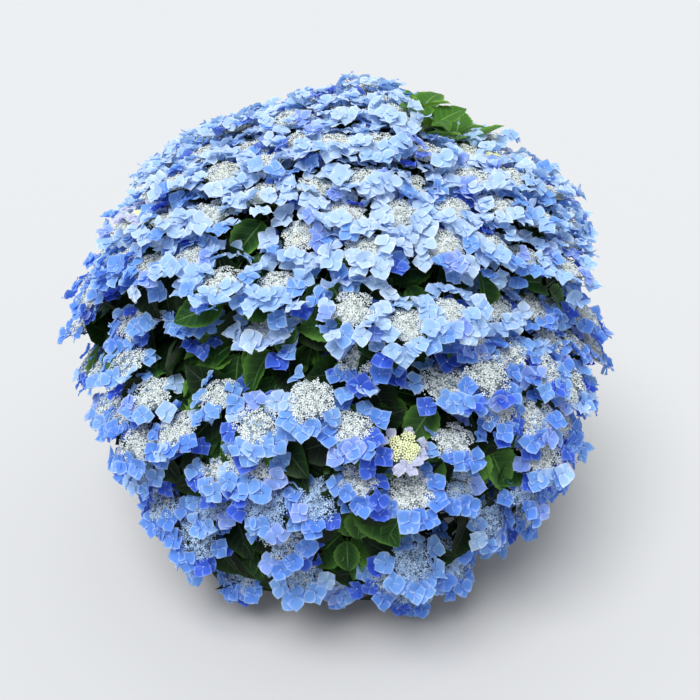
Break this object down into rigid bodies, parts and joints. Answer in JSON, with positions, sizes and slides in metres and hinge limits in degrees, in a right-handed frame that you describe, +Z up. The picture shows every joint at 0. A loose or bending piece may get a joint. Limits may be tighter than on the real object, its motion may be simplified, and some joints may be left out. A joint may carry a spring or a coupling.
{
  "type": "lacecap hydrangea shrub",
  "caption": "Rounded garden shrub covered in flat blue flower heads, rooted at a short woody base with a fan of canes.",
  "frame": {"origin": "the centre of the flat cut under the woody base, at ground level", "axes": "+Z up, -Y the front that the view looks at, +X the right of that view"},
  "size_m": [1.3166, 1.2923, 1.2227],
  "materials": {
    "foliage": "blue lacecap flower heads over dark green serrated leaves",
    "canes": "thin brown peeling bark",
    "stem_base": "rough grey-brown bark"
  },
  "bodies": {
    "root": {"stem_base": "stem_base", "cane_top": "canes", "cane_upper_1": "canes", "cane_upper_2": "canes", "cane_upper_3": "canes", "cane_upper_4": "canes", "cane_upper_5": "canes", "cane_middle_1": "canes", "cane_middle_2": "canes", "cane_middle_3": "canes", "cane_middle_4": "canes", "cane_middle_5": "canes", "cane_middle_6": "canes", "cane_middle_7": "canes", "cane_middle_8": "canes", "cane_lower_1": "canes", "cane_lower_2": "canes", "cane_lower_3": "canes", "cane_lower_4": "canes", "cane_lower_5": "canes", "cane_lower_6": "canes", "cane_lower_7": "canes", "foliage_top": "foliage", "foliage_upper_1": "foliage", "foliage_upper_2": "foliage", "foliage_upper_3": "foliage", "foliage_upper_4": "foliage", "foliage_upper_5": "foliage", "foliage_middle_1": "foliage", "foliage_middle_2": "foliage", "foliage_middle_3": "foliage", "foliage_middle_4": "foliage", "foliage_middle_5": "foliage", "foliage_middle_6": "foliage", "foliage_middle_7": "foliage", "foliage_middle_8": "foliage", "foliage_lower_1": "foliage", "foliage_lower_2": "foliage", "foliage_lower_3": "foliage", "foliage_lower_4": "foliage", "foliage_lower_5": "foliage", "foliage_lower_6": "foliage", "foliage_lower_7": "foliage"}
  },
  "joints": []
}
